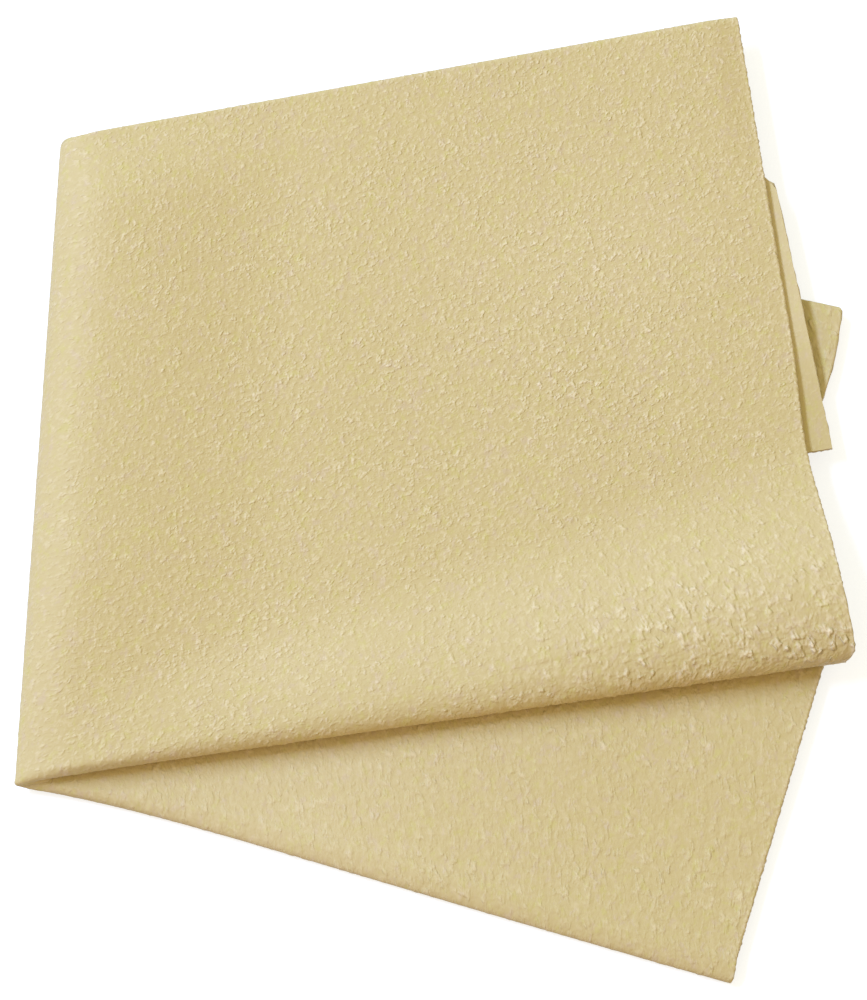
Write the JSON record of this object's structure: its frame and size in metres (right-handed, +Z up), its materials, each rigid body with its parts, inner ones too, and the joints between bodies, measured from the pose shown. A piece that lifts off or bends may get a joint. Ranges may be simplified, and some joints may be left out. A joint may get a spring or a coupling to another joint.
{
  "type": "folded microfibre polishing cloth",
  "caption": "Soft square microfibre polishing cloth, folded into a band and then in half like a book, fanned at the free ends; for dusting, drying and polishing.",
  "frame": {"origin": "on the table, under the middle of the folded cloth's box", "axes": "+Z up, +Y along the book fold, +X from the book fold towards the free ends"},
  "size_m": [0.2118, 0.2632, 0.0122],
  "materials": {
    "microfibre": "matt pale chamois yellow with a short suede-like nap and raw cut edges"
  },
  "bodies": {
    "lower_half": {"lower_bottom_flap": "microfibre", "lower_bottom_fold": "microfibre", "lower_face": "microfibre", "lower_top_fold": "microfibre", "lower_top_flap": "microfibre", "lower_bottom_flap_book_fold": "microfibre", "lower_bottom_fold_book_fold": "microfibre", "lower_face_book_fold": "microfibre", "lower_top_fold_book_fold": "microfibre", "lower_top_flap_book_fold": "microfibre"},
    "upper_half": {"upper_bottom_flap": "microfibre", "upper_bottom_fold": "microfibre", "upper_face": "microfibre", "upper_top_fold": "microfibre", "upper_top_flap": "microfibre", "upper_bottom_flap_book_fold": "microfibre", "upper_bottom_fold_book_fold": "microfibre", "upper_face_book_fold": "microfibre", "upper_top_fold_book_fold": "microfibre", "upper_top_flap_book_fold": "microfibre"}
  },
  "joints": [
    {"name": "book_fold", "type": "hinge", "parent": "lower_half", "child": "upper_half", "pos_m": [-0.10587, 0, 0.0045], "axis": [0, -1, 0], "range_deg": [0, 180]}
  ]
}
